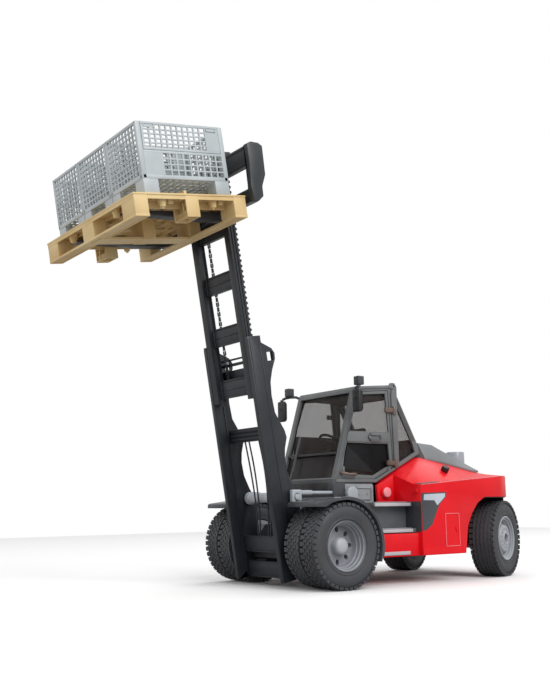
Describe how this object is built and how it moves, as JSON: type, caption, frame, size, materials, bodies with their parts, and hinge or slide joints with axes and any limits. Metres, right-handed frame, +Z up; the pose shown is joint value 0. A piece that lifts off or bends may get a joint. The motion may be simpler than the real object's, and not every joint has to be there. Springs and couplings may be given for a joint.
{
  "type": "toy forklift",
  "caption": "Toy forklift truck with a tilting two-stage mast, fork carriage, dual front wheels, steered rear wheels, a glazed cab and a pallet of mesh boxes",
  "frame": {"origin": "on the floor under the middle of the model's bounding box", "axes": "front faces -Y, the driver's left is +X, up is +Z"},
  "size_m": [0.174, 0.4322, 0.3643],
  "materials": {
    "red_body": "gloss",
    "panel_grey": "satin",
    "cab_grey": "satin",
    "trim_grey": "satin",
    "light_plastic": "satin",
    "black_plastic": "matte",
    "mast_black": "satin",
    "carriage_grey": "satin",
    "tinted_glass": "gloss",
    "rim_grey": "satin",
    "tyre_rubber": "matte",
    "steel": "satin",
    "pallet_beige": "matte",
    "cage_grey": "satin"
  },
  "bodies": {
    "truck": {"chassis_frame": "black_plastic", "body_shell": "red_body", "base_cover": "panel_grey", "engine_hood": "panel_grey", "exhaust_stack": "light_plastic", "step_left": "trim_grey", "step_right": "trim_grey", "fender_left": "trim_grey", "fender_right": "trim_grey", "cab_frame": "cab_grey", "windscreen": "tinted_glass", "rear_window": "tinted_glass", "driver_seat": "black_plastic", "dash_console": "black_plastic", "quarter_glass_left": "tinted_glass", "quarter_glass_right": "tinted_glass", "mirror_arm_left": "trim_grey", "mirror_arm_right": "trim_grey", "front_axle": "steel", "rear_axle_beam": "black_plastic", "mast_pin": "steel"},
    "cab_door_left": {"door_frame_left": "cab_grey", "door_glass_left": "tinted_glass"},
    "mirror_head_left": {"mirror_left": "black_plastic"},
    "front_wheel_left": {"front_rim_left": "rim_grey", "front_tyre_left_inner": "tyre_rubber", "front_tyre_left_outer": "tyre_rubber"},
    "steering_knuckle_left": {"rear_knuckle_left": "black_plastic"},
    "rear_wheel_left": {"rear_rim_left": "rim_grey", "rear_tyre_left": "tyre_rubber"},
    "tilt_link_left": {"tilt_rod_left": "light_plastic"},
    "fork_arm_left": {"fork_left": "carriage_grey"},
    "cab_door_right": {"door_frame_right": "cab_grey", "door_glass_right": "tinted_glass"},
    "mirror_head_right": {"mirror_right": "black_plastic"},
    "front_wheel_right": {"front_rim_right": "rim_grey", "front_tyre_right_inner": "tyre_rubber", "front_tyre_right_outer": "tyre_rubber"},
    "steering_knuckle_right": {"rear_knuckle_right": "black_plastic"},
    "rear_wheel_right": {"rear_rim_right": "rim_grey", "rear_tyre_right": "tyre_rubber"},
    "tilt_link_right": {"tilt_rod_right": "light_plastic"},
    "fork_arm_right": {"fork_right": "carriage_grey"},
    "driver_wheel": {"steering_wheel": "black_plastic"},
    "knob": {"tilt_knob": "light_plastic"},
    "track_rod": {"tie_rod": "steel"},
    "mast": {"outer_mast": "mast_black", "tilt_tube": "light_plastic"},
    "latch": {"lift_latch": "mast_black"},
    "stage": {"inner_mast": "mast_black", "chain_left": "steel", "chain_right": "steel"},
    "fork_carriage": {"carriage": "carriage_grey"},
    "load_pallet": {"pallet": "pallet_beige", "pallet_base": "pallet_beige"},
    "mesh_box_left": {"cage_left": "cage_grey"},
    "mesh_box_middle": {"cage_middle": "cage_grey"},
    "mesh_box_right": {"cage_right": "cage_grey"},
    "flap_left": {"cage_flap_left": "cage_grey"},
    "flap_right": {"cage_flap_right": "cage_grey"}
  },
  "joints": [
    {"name": "mast_tilt", "type": "hinge", "parent": "truck", "child": "mast", "pos_m": [0, -0.03302, 0.0299], "axis": [1, 0, 0], "range_deg": [-15, 1.5]},
    {"name": "tilt_knob_turn", "type": "hinge", "parent": "truck", "child": "knob", "pos_m": [0, 0.01798, 0.0775], "axis": [1, 0, 0], "range_deg": [-122, 14]},
    {"name": "tilt_rod_left_slide", "type": "slide", "parent": "truck", "child": "tilt_link_left", "axis": [0, 1, 0], "range_m": [-0.0012, 0.0119]},
    {"name": "tilt_rod_right_slide", "type": "slide", "parent": "truck", "child": "tilt_link_right", "axis": [0, 1, 0], "range_m": [-0.0012, 0.0119]},
    {"name": "mast_lift", "type": "slide", "parent": "mast", "child": "stage", "axis": [0, -0.1656, 0.9862], "range_m": [-0.139, 0.006]},
    {"name": "carriage_lift", "type": "slide", "parent": "stage", "child": "fork_carriage", "axis": [0, -0.1656, 0.9862], "range_m": [-0.139, 0.006]},
    {"name": "latch_release", "type": "hinge", "parent": "mast", "child": "latch", "pos_m": [0, -0.06446, 0.19294], "axis": [1, 0, 0], "range_deg": [-15, 0]},
    {"name": "fork_left_shift", "type": "slide", "parent": "fork_carriage", "child": "fork_arm_left", "axis": [1, 0, 0], "range_m": [-0.018, 0.007]},
    {"name": "fork_right_shift", "type": "slide", "parent": "fork_carriage", "child": "fork_arm_right", "axis": [1, 0, 0], "range_m": [-0.007, 0.018]},
    {"name": "pallet_slide", "type": "slide", "parent": "fork_carriage", "child": "load_pallet", "axis": [0, -0.9862, -0.1656], "range_m": [0, 0.12]},
    {"name": "mesh_box_left_lift", "type": "slide", "parent": "load_pallet", "child": "mesh_box_left", "axis": [0, -0.1656, 0.9862], "range_m": [0, 0.06]},
    {"name": "mesh_box_middle_lift", "type": "slide", "parent": "load_pallet", "child": "mesh_box_middle", "axis": [0, -0.1656, 0.9862], "range_m": [0, 0.06]},
    {"name": "mesh_box_right_lift", "type": "slide", "parent": "load_pallet", "child": "mesh_box_right", "axis": [0, -0.1656, 0.9862], "range_m": [0, 0.06]},
    {"name": "flap_left_fold", "type": "hinge", "parent": "mesh_box_left", "child": "flap_left", "pos_m": [0.07733, -0.08686, 0.35041], "axis": [0, 0.9862, 0.1656], "range_deg": [0, 110]},
    {"name": "flap_right_fold", "type": "hinge", "parent": "mesh_box_right", "child": "flap_right", "pos_m": [-0.07733, -0.08686, 0.35041], "axis": [0, 0.9862, 0.1656], "range_deg": [-110, 0]},
    {"name": "door_left_swing", "type": "hinge", "parent": "truck", "child": "cab_door_left", "pos_m": [0.042, 0.07298, 0], "axis": [0, 0, 1], "range_deg": [0, 75]},
    {"name": "door_right_swing", "type": "hinge", "parent": "truck", "child": "cab_door_right", "pos_m": [-0.042, 0.07298, 0], "axis": [0, 0, 1], "range_deg": [-75, 0]},
    {"name": "mirror_left_swivel", "type": "hinge", "parent": "truck", "child": "mirror_head_left", "pos_m": [0.0552, 0.01678, 0], "axis": [0, 0, 1], "range_deg": [-25, 25]},
    {"name": "mirror_right_swivel", "type": "hinge", "parent": "truck", "child": "mirror_head_right", "pos_m": [-0.0552, 0.01678, 0], "axis": [0, 0, 1], "range_deg": [-25, 25]},
    {"name": "steering_wheel_turn", "type": "hinge", "parent": "truck", "child": "driver_wheel", "pos_m": [0, 0.03198, 0.1225], "axis": [0, 0.5592, 0.829], "continuous": true},
    {"name": "front_wheel_left_spin", "type": "hinge", "parent": "truck", "child": "front_wheel_left", "pos_m": [0, -0.02002, 0.035], "axis": [1, 0, 0], "continuous": true},
    {"name": "front_wheel_right_spin", "type": "hinge", "parent": "truck", "child": "front_wheel_right", "pos_m": [0, -0.02002, 0.035], "axis": [1, 0, 0], "continuous": true},
    {"name": "rear_steer_left", "type": "hinge", "parent": "truck", "child": "steering_knuckle_left", "pos_m": [0.06, 0.17978, 0.035], "axis": [0, 0, 1], "range_deg": [-41.2, 2.8]},
    {"name": "rear_steer_right", "type": "hinge", "parent": "truck", "child": "steering_knuckle_right", "pos_m": [-0.06, 0.17978, 0.035], "axis": [0, 0, 1], "range_deg": [-41.2, 2.8]},
    {"name": "tie_rod_shift", "type": "slide", "parent": "truck", "child": "track_rod", "axis": [1, 0, 0], "range_m": [-0.0064, 0.0005]},
    {"name": "rear_wheel_left_spin", "type": "hinge", "parent": "steering_knuckle_left", "child": "rear_wheel_left", "pos_m": [0.06, 0.17978, 0.035], "axis": [0.9444, 0.3289, 0], "continuous": true},
    {"name": "rear_wheel_right_spin", "type": "hinge", "parent": "steering_knuckle_right", "child": "rear_wheel_right", "pos_m": [-0.06, 0.17978, 0.035], "axis": [0.9444, 0.3289, 0], "continuous": true}
  ],
  "couplings": [
    {"joint": "tilt_knob_turn", "follows": "mast_tilt", "ratio": 8},
    {"joint": "tilt_rod_left_slide", "follows": "mast_tilt", "m_per_rad": -0.0454},
    {"joint": "tilt_rod_right_slide", "follows": "mast_tilt", "m_per_rad": -0.0454},
    {"joint": "carriage_lift", "follows": "mast_lift", "ratio": 1},
    {"joint": "rear_steer_right", "follows": "rear_steer_left", "ratio": 1},
    {"joint": "tie_rod_shift", "follows": "rear_steer_left", "m_per_rad": 0.00878}
  ]
}
